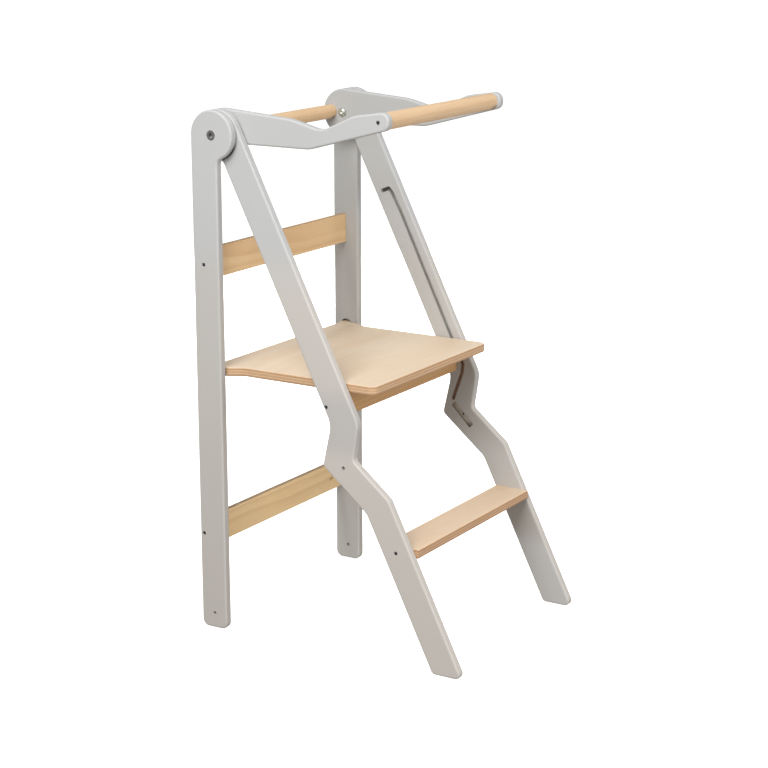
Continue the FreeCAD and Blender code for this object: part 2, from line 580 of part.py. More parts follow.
# ------------------------------------------------------------------ turned rails of the guard
for label, rr, yy, zz in (("front_grip_rail", "gripR", "gripY", "gripZ"), ("rear_top_rail", "topRailR", "topRailY", "topRailZ")):
    b = new_body(label)
    sk = circle_sketch(b, "outline_" + label, "YZ_Plane", [(D[yy], D[zz], "Dims." + yy, "Dims." + zz)], "Dims." + rr,
                       -ARM_IN, "-(Dims.halfWidth - 3 * Dims.ply - 2 * Dims.layerGap)")
    pad(b, sk, "bar_" + label, "2 * (Dims.halfWidth - 3 * Dims.ply - 2 * Dims.layerGap)")
    for nm, sgn in (("left", -1), ("right", 1)):
        s = circle_sketch(b, "%s_bore_%s" % (label, nm), "YZ_Plane", [(D[yy], D[zz], "Dims." + yy, "Dims." + zz)],
                          "Dims.screwBoreR", sgn * ARM_IN,
                          ("-(Dims.halfWidth - 3 * Dims.ply - 2 * Dims.layerGap)" if sgn < 0 else "Dims.halfWidth - 3 * Dims.ply - 2 * Dims.layerGap"))
        pocket(b, s, "%s_hole_%s" % (label, nm), "Dims.screwLong - Dims.ply + 3", sgn < 0)
    NODES.append(b)


# ------------------------------------------------------------------ fasteners
def cylinder(name, radius_expr, height_expr, x_expr, y_expr, z_expr, sgn):
    """A cylinder along X that starts at x and runs towards the centre plane."""
    c = doc.addObject("Part::Cylinder", name)
    c.setExpression("Radius", radius_expr)
    c.setExpression("Height", height_expr)
    c.Placement = FreeCAD.Placement(V(0, 0, 0), FreeCAD.Rotation(V(0, 1, 0), 90 if sgn < 0 else -90))
    c.setExpression("Placement.Base.x", ("-(%s)" % x_expr) if sgn < 0 else x_expr)
    c.setExpression("Placement.Base.y", "%s + Dims.originShift" % y_expr)
    c.setExpression("Placement.Base.z", z_expr)
    return c


def hexagon(name, across, height, x_expr, y_expr, z_expr, sgn):
    c = doc.addObject("Part::Prism", name)
    c.Polygon = 6
    c.Circumradius = across / math.sqrt(3)
    c.Height = height
    c.Placement = FreeCAD.Placement(V(0, 0, 0), FreeCAD.Rotation(V(0, 1, 0), 90 if sgn < 0 else -90))
    c.setExpression("Placement.Base.x", ("-(%s)" % x_expr) if sgn < 0 else x_expr)
    c.setExpression("Placement.Base.y", "%s + Dims.originShift" % y_expr)
    c.setExpression("Placement.Base.z", z_expr)
    return c


def cut(name, base, tool):
    c = doc.addObject("Part::Cut", name)
    c.Base = base
    c.Tool = tool
    return c


def fuse(name, a, b):
    c = doc.addObject("Part::Fuse", name)
    c.Base = a
    c.Tool = b
    return c


def screw(name, face_expr, y_expr, z_expr, sgn):
    """Socket-head screw, its head sunk below the face."""
    seat = "%s - Dims.screwSunk" % face_expr
    head = cylinder(name + "_head", "Dims.screwHeadR", "Dims.screwHeadLong", seat, y_expr, z_expr, sgn)
    shank = cylinder(name + "_shank", "Dims.screwShankR", "Dims.screwLong - 0.5", seat + " - 0.5", y_expr, z_expr, sgn)
    whole = fuse(name + "_whole", head, shank)
    sock = hexagon(name + "_socket", 3.0, 2.7, face_expr + " - Dims.screwSunk + 0.2", y_expr, z_expr, sgn)
    return cut(name, whole, sock)


def group(label, links):
    c = doc.addObject("Part::Compound", "Group_" + label)
    c.Links = links
    c.Label = label
    NODES.append(c)
    return c


F_BACK = "Dims.halfWidth"
F_FRONT = "(Dims.halfWidth - Dims.ply - Dims.layerGap)"
F_ARM = "(Dims.halfWidth - 2 * Dims.ply - 2 * Dims.layerGap)"
UP = ("Dims.upperSlatY + Dims.slatThick / 2", "Dims.upperSlatZ + Dims.slatTall / 2")
LO = ("Dims.lowerSlatY + Dims.slatThick / 2", "Dims.lowerSlatZ + Dims.slatTall / 2")
RC = ("Dims.railScrewY", "Dims.railScrewZ")
SC = ("Dims.stepRearY - Dims.stepDepth / 2 + 2", "Dims.stepZ + Dims.stepThick / 2")
group("upper_slat_screws", [screw("us_" + t, F_BACK, UP[0], UP[1], s) for t, s in SIDES])
group("lower_slat_screws", [screw("ls_" + t, F_BACK, LO[0], LO[1], s) for t, s in SIDES])
group("rail_screws", [screw("rs_" + t, F_FRONT, RC[0], RC[1], s) for t, s in SIDES])
group("step_screws", [screw("ss_" + t, F_FRONT, SC[0], SC[1], s) for t, s in SIDES])
group("grip_screws", [screw("gs_" + t, F_ARM, "Dims.gripY", "Dims.gripZ", s) for t, s in SIDES])
group("top_rail_screws", [screw("ts_" + t, F_ARM, "Dims.topRailY", "Dims.topRailZ", s) for t, s in SIDES])

# guide pins of the platform
group("platform_guide_pins", [
    cylinder("gp_" + t, "Dims.guideR", "Dims.guideEnd - Dims.guideRoot", "Dims.guideEnd", "Dims.guideY",
             "Dims.platformZ + Dims.platformThick / 2", s) for t, s in SIDES])

# pivots: a barrel with a flat head outside, a bolt with a domed head inside
for tag, side in SIDES:
    head = cylinder("barrel_head_" + tag, "Dims.capR", "Dims.capDeep", "Dims.halfWidth - 0.3", "0", "Dims.pivotZ", side)
    tube = cylinder("barrel_tube_" + tag, "Dims.barrelR", "3 * Dims.ply + 2 * Dims.layerGap - 1.3", "Dims.halfWidth - 0.8", "0", "Dims.pivotZ", side)
    whole = fuse("barrel_whole_" + tag, head, tube)
    hole = cylinder("barrel_hole_" + tag, "Dims.barrelBoreR", "3 * Dims.ply", "Dims.halfWidth - 7", "0", "Dims.pivotZ", side)
    bored = cut("barrel_bored_" + tag, whole, hole)
    sock = hexagon("barrel_socket_" + tag, 8.0, 4.0, "Dims.halfWidth - 0.1", "0", "Dims.pivotZ", side)
    b = cut("barrel_" + tag, bored, sock)
    b.Label = "pivot_barrel_" + tag
    NODES.append(b)

    b = new_body("pivot_bolt_" + tag)
    # turned shape: u runs from the arm's inner face towards the centre plane
    sk = sketch_on(b, "turn_bolt_" + tag, "XY_Plane")
    fr = ARM_IN - 0.05
    prof = [(fr + 31.0, 0.0), (fr + 31.0, D["boltR"] - 0.6), (fr + 30.4, D["boltR"]), (fr, D["boltR"]), (fr, D["capR"]),
            (fr - 1.0, D["capR"])]
    # domed face of the head
    top = fr - 4.6
    flat = 3.6
    mid = (fr - 3.5, 6.3)
    items = [(side * x, y) for x, y in prof]
    for a0, b0 in zip(items[:-1], items[1:]):
        sk.addGeometry(Part.LineSegment(V(a0[0], a0[1], 0), V(b0[0], b0[1], 0)), False)
    e0 = V(items[-1][0], items[-1][1], 0)
    m0 = V(side * mid[0], mid[1], 0)
    t0 = V(side * top, flat, 0)
    sk.addGeometry(Part.Arc(e0, m0, t0), False)
    c0 = V(t0.x, 0, 0)
    sk.addGeometry(Part.LineSegment(t0, c0), False)
    sk.addGeometry(Part.LineSegment(c0, V(items[0][0], items[0][1], 0)), False)
    doc.recompute()
    rv = b.newObject("PartDesign::Revolution", "turned_bolt_" + tag)
    rv.Profile = sk
    rv.ReferenceAxis = (sk, ["H_Axis"])
    rv.Angle = 360.0
    sk.Visibility = False
    doc.recompute()
    # hexagon socket in the domed head
    s = sketch_on(b, "socket_bolt_" + tag, "YZ_Plane", side * top)
    hexr = 5.0 / math.sqrt(3)
    corner = [(hexr * math.cos(math.radians(60 * k)), hexr * math.sin(math.radians(60 * k))) for k in range(6)]
    add_outline(s, [("line", corner[k], corner[(k + 1) % 6]) for k in range(6)])
    pocket(b, s, "socket_" + tag, "3.2", side > 0)
    b.setExpression("Placement.Base.z", "Dims.pivotZ")
    NODES.append(b)


def washer(name, x_expr, sgn):
    disc = cylinder(name + "_disc", "Dims.washerR", "Dims.washerThick", x_expr, "0", "Dims.pivotZ", sgn)
    hole = cylinder(name + "_hole", "Dims.pinBoreR", "Dims.washerThick + 2", x_expr + " + 1", "0", "Dims.pivotZ", sgn)
    return cut(name, disc, hole)


group("outer_pivot_washers", [washer("ow_" + t, "Dims.halfWidth - Dims.ply - 0.05", s) for t, s in SIDES])
group("inner_pivot_washers", [washer("iw_" + t, "Dims.halfWidth - 2 * Dims.ply - Dims.layerGap - 0.05", s) for t, s in SIDES])

# ------------------------------------------------------------------ origin, check and write
for node in NODES:
    if node.TypeId == "PartDesign::Body":
        node.setExpression("Placement.Base.y", "Dims.originShift")
doc.recompute()
for obj in doc.Objects:
    if "Invalid" in obj.State or "Error" in obj.State:
        raise ValueError("bad object %s %s" % (obj.Name, obj.State))
os.makedirs("parts", exist_ok=True)
for node in NODES:
    sh = node.Shape
    if sh.isNull() or not sh.isValid() or not sh.Solids:
        raise ValueError("bad shape " + node.Label)
    sh.exportStep("parts/%s.step" % node.Label)
    print(node.Label, len(sh.Solids), round(sh.Volume / 1000.0, 2), [round(v, 1) for v in (
        sh.BoundBox.XMin, sh.BoundBox.XMax, sh.BoundBox.YMin, sh.BoundBox.YMax, sh.BoundBox.ZMin, sh.BoundBox.ZMax)])
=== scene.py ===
import math
import bpy
from mathutils import Matrix, Vector

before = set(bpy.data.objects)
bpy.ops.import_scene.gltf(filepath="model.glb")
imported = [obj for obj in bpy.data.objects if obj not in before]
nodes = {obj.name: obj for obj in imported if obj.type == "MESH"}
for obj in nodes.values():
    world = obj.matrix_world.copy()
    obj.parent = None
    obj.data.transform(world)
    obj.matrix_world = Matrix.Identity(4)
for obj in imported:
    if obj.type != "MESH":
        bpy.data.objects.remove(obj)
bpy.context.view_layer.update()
scene = bpy.context.scene

# the fold pivots' y in this frame; the outlines below are given from them
SHIFT = 0.21075


# ------------------------------------------------------------------ node helpers
class Tree:
    """A material's node tree, built with short calls."""

    def __init__(self, name):
        self.mat = bpy.data.materials.new(name)
        self.mat.use_nodes = True
        self.t = self.mat.node_tree
        self.t.nodes.clear()
        self.out = self.t.nodes.new("ShaderNodeOutputMaterial")
        self.bsdf = self.t.nodes.new("ShaderNodeBsdfPrincipled")
        self.t.links.new(self.bsdf.outputs[0], self.out.inputs[0])
        self.coord = self.t.nodes.new("ShaderNodeTexCoord")
        self._sep = None
        self._nsep = None

    def link(self, a, b):
        self.t.links.new(a, b)

    def put(self, sock, value):
        if isinstance(value, bpy.types.NodeSocket):
            self.link(value, sock)
        elif value is not None:
            sock.default_value = value

    @property
    def xyz(self):
        if self._sep is None:
            s = self.t.nodes.new("ShaderNodeSeparateXYZ")
            self.link(self.coord.outputs["Object"], s.inputs[0])
            self._sep = s.outputs
        return self._sep

    @property
    def normal(self):
        if self._nsep is None:
            s = self.t.nodes.new("ShaderNodeSeparateXYZ")
            self.link(self.coord.outputs["Normal"], s.inputs[0])
            self._nsep = s.outputs
        return self._nsep

    def math(self, op, a, b=None, c=None, clamp=False):
        n = self.t.nodes.new("ShaderNodeMath")
        n.operation = op
        n.use_clamp = clamp
        self.put(n.inputs[0], a)
        if b is not None:
            self.put(n.inputs[1], b)
        if c is not None:
            self.put(n.inputs[2], c)
        return n.outputs[0]

    def combine(self, x, y, z):
        n = self.t.nodes.new("ShaderNodeCombineXYZ")
        for i, v in enumerate((x, y, z)):
            self.put(n.inputs[i], v)
        return n.outputs[0]

    def scaled(self, sx, sy, sz, ox=0.0, oy=0.0, oz=0.0):
        """The object's own coordinates, stretched and moved."""
        m = self.t.nodes.new("ShaderNodeMapping")
        self.link(self.coord.outputs["Object"], m.inputs["Vector"])
        m.inputs["Scale"].default_value = (sx, sy, sz)
        m.inputs["Location"].default_value = (ox, oy, oz)
        return m.outputs[0]

    def noise(self, vec, scale=1.0, detail=2.0, rough=0.5, distort=0.0, color=False):
        n = self.t.nodes.new("ShaderNodeTexNoise")
        self.link(vec, n.inputs["Vector"])
        n.inputs["Scale"].default_value = scale
        n.inputs["Detail"].default_value = detail
        n.inputs["Roughness"].default_value = rough
        n.inputs["Distortion"].default_value = distort
        return n.outputs["Color" if color else "Fac"]

    def ramp(self, fac, stops, smooth=False):
        n = self.t.nodes.new("ShaderNodeValToRGB")
        n.color_ramp.interpolation = "EASE" if smooth else "LINEAR"
        els = n.color_ramp.elements
        while len(els) > 1:
            els.remove(els[-1])
        els[0].position = stops[0][0]
        els[0].color = (*stops[0][1], 1.0)
        for p, c in stops[1:]:
            e = els.new(p)
            e.color = (*c, 1.0)
        self.link(fac, n.inputs[0])
        return n.outputs[0]

    def remap(self, v, a, b, c, d, smooth=False):
        n = self.t.nodes.new("ShaderNodeMapRange")
        n.interpolation_type = "SMOOTHSTEP" if smooth else "LINEAR"
        n.clamp = True
        self.put(n.inputs["Value"], v)
        for k, x in zip(("From Min", "From Max", "To Min", "To Max"), (a, b, c, d)):
            n.inputs[k].default_value = x
        return n.outputs[0]

    def mix(self, fac, a, b, kind="MIX"):
        n = self.t.nodes.new("ShaderNodeMix")
        n.data_type = "RGBA"
        n.blend_type = kind
        self.put(n.inputs["Factor"], fac)
        self.put(n.inputs[6], a if isinstance(a, bpy.types.NodeSocket) else (*a, 1.0))
        self.put(n.inputs[7], b if isinstance(b, bpy.types.NodeSocket) else (*b, 1.0))
        return n.outputs[2]

    def bump(self, height, dist, strength=1.0, normal=None):
        n = self.t.nodes.new("ShaderNodeBump")
        n.inputs["Strength"].default_value = strength
        n.inputs["Distance"].default_value = dist
        self.link(height, n.inputs["Height"])
        if normal is not None:
            self.link(normal, n.inputs["Normal"])
        return n.outputs[0]

    def soft_edges(self, radius):
        n = self.t.nodes.new("ShaderNodeBevel")
        n.samples = 4
        n.inputs["Radius"].default_value = radius
        return n.outputs[0]

    def finish(self, color, rough, normal=None, **sockets):
        b = self.bsdf.inputs
        self.put(b["Base Color"], color if isinstance(color, bpy.types.NodeSocket) else (*color, 1.0))
        self.put(b["Roughness"], rough)
        if normal is not None:
            self.link(normal, b["Normal"])
        for k, v in sockets.items():
            b[k.replace("_", " ")].default_value = v
        return self.mat


def lin(r, g, b):
    """sRGB 0..255 to linear."""
    out = []
    for v in (r, g, b):
        v /= 255.0
        out.append(v / 12.92 if v <= 0.04045 else ((v + 0.055) / 1.055) ** 2.4)
    return tuple(out)


# ------------------------------------------------------------------ painted plywood
def paint_material():
    t = Tree("grey_paint")
    x, y, z = t.xyz[0], t.xyz[1], t.xyz[2]
    nx = t.math("ABSOLUTE", t.normal[0])
    # slow drift of tone over the boards and a fine roller mottle
    slow = t.noise(t.scaled(2.2, 2.2, 1.4), 1.0, 3.0, 0.55)
    mott = t.noise(t.scaled(1, 1, 1), 260.0, 3.0, 0.6)
    veil = t.noise(t.scaled(6, 10, 3.0, 3.1, 0.7, 1.9), 1.0, 4.0, 0.6)
    base = t.ramp(slow, [(0.30, lin(187, 187, 187)), (0.55, lin(190, 191, 191)), (0.75, lin(193, 191, 188))])
    base = t.mix(t.remap(veil, 0.35, 0.7, 0.0, 0.20), base, lin(193, 192, 190))
    base = t.mix(t.remap(mott, 0.3, 0.7, 0.0, 0.08), base, lin(184, 183, 179))
    # painted shade: lower down the paint is darker and warmer, standing in for the light falling off towards the floor
    low = t.remap(z, 0.02, 0.60, 1.0, 0.0, True)
    # painted shade: the faces that look inwards are darker and greyer, as less light reaches them
    inward = t.remap(t.math("MULTIPLY", x, t.normal[0]), -0.15, -0.05, 1.0, 0.0)
    base = t.mix(t.math("MULTIPLY", low, t.remap(inward, 0.0, 1.0, 0.30, 0.10)), base, lin(184, 179, 172))
    warm = t.math("MULTIPLY", t.remap(z, 0.58, 0.70, 1.0, 0.0, True), t.remap(inward, 0.0, 1.0, 1.0, 0.6))
    base = t.mix(warm, base, (1.0, 0.955, 0.905), "MULTIPLY")
    front = t.remap(y, 0.12, 0.18, 1.0, 0.0, True)
    lower = t.math("MULTIPLY", front, t.remap(z, 0.66, 0.76, 1.0, 0.0, True))
    # painted shade on the inward faces: stronger higher up, weaker on the front legs' lower part
    inward_shade = t.math("MULTIPLY", t.remap(z, 0.22, 0.52, 0.06, 0.46, True), t.remap(lower, 0.0, 1.0, 1.0, 0.25))
    base = t.mix(t.math("MULTIPLY", inward, inward_shade), base, lin(168, 168, 165))
    # painted shadow: under the platform and under the step the front legs' inner faces are darker and browner
    band = t.math("MULTIPLY", t.remap(z, 0.25, 0.325, 0.0, 1.0, True), t.remap(z, 0.452, 0.462, 1.0, 0.0, True))
    foot = t.math("MULTIPLY", t.remap(z, 0.095, 0.145, 0.0, 1.0, True), t.remap(z, 0.180, 0.192, 1.0, 0.0, True))
    shade = t.math("MULTIPLY", t.math("MULTIPLY", t.math("MAXIMUM", band, foot), front), inward)
    base = t.mix(t.math("MULTIPLY", shade, 0.36), base, lin(143, 131, 119))
    # painted shade: the back legs' inner faces are darker and browner above the platform
    back = t.math("MULTIPLY", t.remap(z, 0.455, 0.47, 0.0, 1.0, True), t.remap(z, 0.58, 0.66, 1.0, 0.0, True))
    back = t.math("MULTIPLY", t.math("MULTIPLY", back, inward), t.remap(y, 0.15, 0.19, 0.0, 1.0))
    base = t.mix(t.math("MULTIPLY", back, 0.10), base, lin(150, 138, 126))
    # painted light: the back legs' inner faces are lighter low down, below the lower slat
    low_inner_light = t.math("MULTIPLY", t.math("MULTIPLY", t.remap(z, 0.120, 0.165, 1.0, 0.0, True), inward), t.remap(y, 0.15, 0.19, 0.0, 1.0))
    base = t.mix(t.math("MULTIPLY", low_inner_light, 0.40), base, lin(226, 222, 215))
    # painted light: the front legs' outer faces and edges are lighter and warmer below the upper part
    front_outer_light = t.math("MULTIPLY", t.math("MULTIPLY", front, t.remap(z, 0.60, 0.70, 1.0, 0.0, True)), t.math("SUBTRACT", 1.0, inward))
    base = t.mix(t.math("MULTIPLY", front_outer_light, 0.30), base, lin(214, 205, 197))
    # painted shade: the front legs are darker at the knee
    knee = t.math("MULTIPLY", t.remap(z, 0.33, 0.37, 0.0, 1.0, True), t.remap(z, 0.42, 0.47, 1.0, 0.0, True))
    base = t.mix(t.math("MULTIPLY", t.math("MULTIPLY", knee, front), 0.30), base, lin(160, 162, 162))
    # painted shade in the gap under the round heads, where the boards meet
    py = t.math("SUBTRACT", y, SHIFT)
    pz = t.math("SUBTRACT", z, 0.855)
    rad = t.math("SQRT", t.math("ADD", t.math("MULTIPLY", py, py), t.math("MULTIPLY", pz, pz)))
    ang = t.math("ARCTAN2", t.math("MULTIPLY", pz, -1.0), t.math("MULTIPLY", py, -1.0))
    under = t.math("MULTIPLY", t.remap(ang, 0.10, 0.75, 0.0, 1.0, True), t.remap(ang, 1.25, 1.45, 1.0, 0.0, True))
    near = t.math("MULTIPLY", t.remap(rad, 0.0360, 0.0405, 0.0, 1.0, True), t.remap(rad, 0.0412, 0.0440, 1.0, 0.0, True))
    ax = t.math("ABSOLUTE", x)
    layer = t.math("MULTIPLY", t.remap(ax, 0.2035, 0.2048, 0.0, 1.0, True), t.remap(ax, 0.2085, 0.2145, 1.0, 0.0, True))
    head_gap_shade = t.math("MULTIPLY", t.math("MULTIPLY", under, near), layer)
    base = t.mix(t.math("MULTIPLY", head_gap_shade, 0.88), base, lin(62, 60, 58))
    # painted shadow: the far back leg's front edge is dark below the head, where the front leg shades it
    edge = t.math("MULTIPLY", t.remap(t.normal[1], -0.75, -0.35, 1.0, 0.0), t.remap(x, 0.200, 0.206, 0.0, 1.0))
    edge = t.math("MULTIPLY", t.math("MULTIPLY", edge, t.remap(y, 0.199, 0.204, 0.0, 1.0)), t.remap(z, 0.66, 0.725, 0.0, 1.0, True))
    edge = t.math("MULTIPLY", edge, t.remap(z, 0.805, 0.83, 1.0, 0.0, True))
    base = t.mix(t.math("MULTIPLY", edge, 0.62), base, lin(92, 87, 82))
    # painted highlight: a hair lighter along the turn of the rounded edges
    turn = t.math("MULTIPLY", t.remap(nx, 0.25, 0.6, 0.0, 1.0, True), t.remap(nx, 0.80, 0.97, 1.0, 0.0, True))
    base = t.mix(t.math("MULTIPLY", turn, 0.15), base, lin(212, 212, 209))
    # faint lines of the plies under the paint, only on the edges
    ply = t.math("FRACT", t.math("MULTIPLY", x, 1000.0 / 2.14))
    line = t.math("MULTIPLY", t.remap(ply, 0.0, 0.16, 1.0, 0.0, True), t.remap(nx, 0.2, 0.75, 1.0, 0.0, True))
    along = t.noise(t.scaled(500, 14, 14), 1.0, 3.0, 0.6)
    line = t.math("MULTIPLY", line, t.remap(along, 0.35, 0.65, 0.2, 1.0))
    base = t.mix(t.math("MULTIPLY", line, 0.10), base, lin(172, 169, 163))
    peel = t.noise(t.scaled(1, 1, 1), 420.0, 2.0, 0.5)
    grainy = t.noise(t.scaled(900, 90, 25), 1.0, 3.0, 0.55)
    n0 = t.soft_edges(0.0005)
    n1 = t.bump(peel, 0.00005, 0.5, n0)
    n2 = t.bump(grainy, 0.00004, 0.35, n1)
    n3 = t.bump(t.math("MULTIPLY", line, -1.0), 0.00006, 0.6, n2)
    rough = t.remap(t.noise(t.scaled(9, 9, 9), 1.0, 3.0, 0.6), 0.3, 0.7, 0.52, 0.62)
    return t.finish(base, rough, n3, Specular_IOR_Level=0.20)


# ------------------------------------------------------------------ inside of the grooves and sockets
def recess_material():
    """Inside of the routed groove and socket, with painted shade: grey in the long run, the walls darker than the bed,
    browner in the knee under the platform, dark at the hook's top, at the socket's end and in its bore; the socket's
    bed painted lighter.
    """
    t = Tree("routed_recess")
    x, z = t.xyz[0], t.xyz[2]
    nx = t.math("ABSOLUTE", t.normal[0])
    low = t.remap(z, 0.440, 0.470, 1.0, 0.0, True)
    hook = t.remap(z, 0.700, 0.716, 0.0, 1.0, True)
    slot = t.remap(z, 0.335, 0.355, 1.0, 0.0, True)
    depth = t.math("SUBTRACT", t.math("ABSOLUTE", x), 0.190)
    bore = t.remap(depth, 0.0052, 0.0058, 0.0, 1.0, True)
    bore = t.math("MULTIPLY", bore, slot)
    end = t.math("MULTIPLY", t.remap(z, 0.3050, 0.3135, 1.0, 0.0, True), slot)
    chatter = t.noise(t.scaled(700, 60, 60), 1.0, 3.0, 0.6)
    blot = t.noise(t.scaled(40, 40, 40), 1.0, 3.0, 0.6)
    # painted shade: browner below the platform, dark at the hook's top, walls darker than the bed; the socket's bed
    # painted lighter
    bed = t.mix(low, lin(190, 188, 183), lin(190, 160, 140))
    bed = t.mix(hook, bed, lin(124, 122, 116))
    bed = t.mix(slot, bed, lin(200, 190, 178))
    wall = t.mix(low, lin(182, 181, 176), lin(178, 152, 132))
    wall = t.mix(slot, wall, lin(150, 137, 125))
    base = t.mix(t.remap(nx, 0.4, 0.8, 0.0, 1.0, True), wall, bed)
    base = t.mix(t.remap(blot, 0.35, 0.7, 0.0, 0.22), base, lin(120, 104, 90))
    # painted shade at the socket's lower end and in its bore
    base = t.mix(t.math("MULTIPLY", end, 0.6), base, lin(84, 72, 62))
    base = t.mix(bore, base, lin(46, 40, 36))
    base = t.mix(t.remap(chatter, 0.4, 0.7, 0.0, 0.18), base, lin(78, 66, 56))
    return t.finish(base, t.remap(blot, 0.3, 0.7, 0.62, 0.76), t.bump(chatter, 0.00008, 0.5), Specular_IOR_Level=0.2)


# ------------------------------------------------------------------ plywood boards with a clear coat
def board_material(name, z_low, thick, tone=(1.0, 1.0, 1.0)):
    """Plywood lying flat: veneer on both faces, plies showing all round the edge."""
    t = Tree(name)
    x, y, z = t.xyz[0], t.xyz[1], t.xyz[2]
    # rotary-cut veneer, grain along X
    warp = t.noise(t.scaled(3.0, 9.0, 3.0, 0.3, 0.1, 0.0), 1.0, 3.0, 0.5, color=True)
    sw = t.t.nodes.new("ShaderNodeSeparateColor")
    t.link(warp, sw.inputs[0])
    yy = t.math("ADD", y, t.math("MULTIPLY", t.math("SUBTRACT", sw.outputs[0], 0.5), 0.085))
    zz = t.math("ADD", z, t.math("MULTIPLY", t.math("SUBTRACT", sw.outputs[1], 0.5), 0.02))
    fig = t.noise(t.combine(t.math("MULTIPLY", x, 2.4), t.math("MULTIPLY", yy, 34.0), t.math("MULTIPLY", zz, 20.0)), 1.0, 4.0, 0.6)
    fibre = t.noise(t.combine(t.math("MULTIPLY", x, 55.0), t.math("MULTIPLY", yy, 1500.0), t.math("MULTIPLY", zz, 1500.0)), 1.0, 2.0, 0.55)
    fleck = t.noise(t.combine(t.math("MULTIPLY", x, 90.0), t.math("MULTIPLY", y, 700.0), t.math("MULTIPLY", z, 700.0)), 1.0, 1.0, 0.5)
    cloud = t.noise(t.scaled(4.0, 6.0, 4.0, 1.7, 0.4, 0.2), 1.0, 3.0, 0.55)
    veneer = t.ramp(fig, [(0.28, lin(223, 197, 165)), (0.44, lin(229, 205, 175)), (0.60, lin(233, 211, 184)), (0.78, lin(226, 201, 169))])
    veneer = t.mix(t.remap(cloud, 0.35, 0.70, 0.0, 0.50), veneer, lin(236, 219, 196))
    veneer = t.mix(t.remap(fibre, 0.42, 0.62, 0.10, 0.0), veneer, lin(208, 174, 134))
    veneer = t.mix(t.remap(fleck, 0.66, 0.74, 0.0, 0.16), veneer, lin(190, 148, 106))
    # plies by height in the board
    h = t.math("DIVIDE", t.math("SUBTRACT", z, z_low), thick)
    wob = t.math("MULTIPLY", t.math("SUBTRACT", t.noise(t.scaled(14, 14, 14), 1.0, 2.0, 0.5), 0.5), 0.022)
    h = t.math("ADD", h, wob)
    lite, dark, glue, pale = lin(216, 182, 146), lin(182, 142, 106), lin(158, 118, 84), lin(232, 206, 172)
    plies = t.ramp(h, [
        (0.000, pale), (0.055, pale), (0.062, glue), (0.075, dark), (0.225, dark), (0.240, glue), (0.255, lite),
        (0.400, lin(220, 188, 152)), (0.412, glue), (0.425, lin(196, 158, 122)), (0.560, lin(200, 164, 128)), (0.572, glue), (0.586, lite),
        (0.740, lite), (0.752, glue), (0.768, dark), (0.925, lin(186, 146, 108)), (0.938, glue), (0.946, pale), (1.0, pale)])
    endgrain = t.noise(t.combine(t.math("MULTIPLY", x, 900.0), t.math("MULTIPLY", y, 900.0), t.math("MULTIPLY", z, 160.0)), 1.0, 3.0, 0.6)
    streak = t.noise(t.scaled(26.0, 26.0, 520.0), 1.0, 3.0, 0.6)
    plies = t.mix(t.remap(endgrain, 0.4, 0.68, 0.0, 0.30), plies, lin(158, 118, 84))
    plies = t.mix(t.remap(streak, 0.35, 0.7, 0.0, 0.28), plies, lin(226, 186, 142))
    nz = t.math("ABSOLUTE", t.normal[2])
    face = t.remap(nz, 0.70, 0.93, 0.0, 1.0, True)
    color = t.mix(face, plies, veneer)
    if tone != (1.0, 1.0, 1.0):
        color = t.mix(1.0, color, tone, "MULTIPLY")
    n0 = t.soft_edges(0.0004)
    n1 = t.bump(fibre, 0.00004, 0.45, n0)
    n2 = t.bump(t.math("MULTIPLY", endgrain, t.math("SUBTRACT", 1.0, face)), 0.00010, 0.5, n1)
    rough = t.remap(t.noise(t.scaled(20, 60, 20), 1.0, 3.0, 0.6), 0.3, 0.7, 0.36, 0.48)
    return t.finish(color, rough, n2, Specular_IOR_Level=0.42, Coat_Weight=0.12, Coat_Roughness=0.28)


